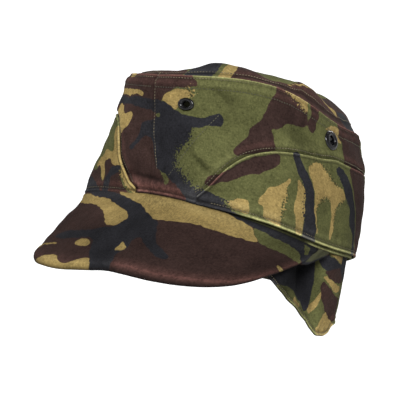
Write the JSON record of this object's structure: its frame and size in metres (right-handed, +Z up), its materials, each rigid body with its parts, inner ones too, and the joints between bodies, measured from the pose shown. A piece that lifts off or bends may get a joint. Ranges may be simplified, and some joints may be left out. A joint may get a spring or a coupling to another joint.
{
  "type": "field cap",
  "caption": "Soft cotton field cap in woodland camouflage, with a sewn peak, a domed oval top, turned-up side bands, metal eyelets and a lobed ear and neck flap.",
  "frame": {"origin": "centre of the rim opening, where the head goes in", "axes": "+Z up, the peak points along -Y and the wearer's left is +X"},
  "size_m": [0.1818, 0.2301, 0.1674],
  "materials": {
    "camouflage_cotton": "matt cotton twill printed in green, brown, black and tan patches",
    "black_metal": "glossy black paint on pressed metal"
  },
  "bodies": {
    "root": {"crown_top": "camouflage_cotton", "side_left": "camouflage_cotton", "side_right": "camouflage_cotton", "band_left": "camouflage_cotton", "band_right": "camouflage_cotton", "peak": "camouflage_cotton", "ear_and_neck_flap": "camouflage_cotton", "eyelet_front_left": "black_metal", "eyelet_rear_left": "black_metal", "eyelet_front_right": "black_metal", "eyelet_rear_right": "black_metal"}
  },
  "joints": []
}
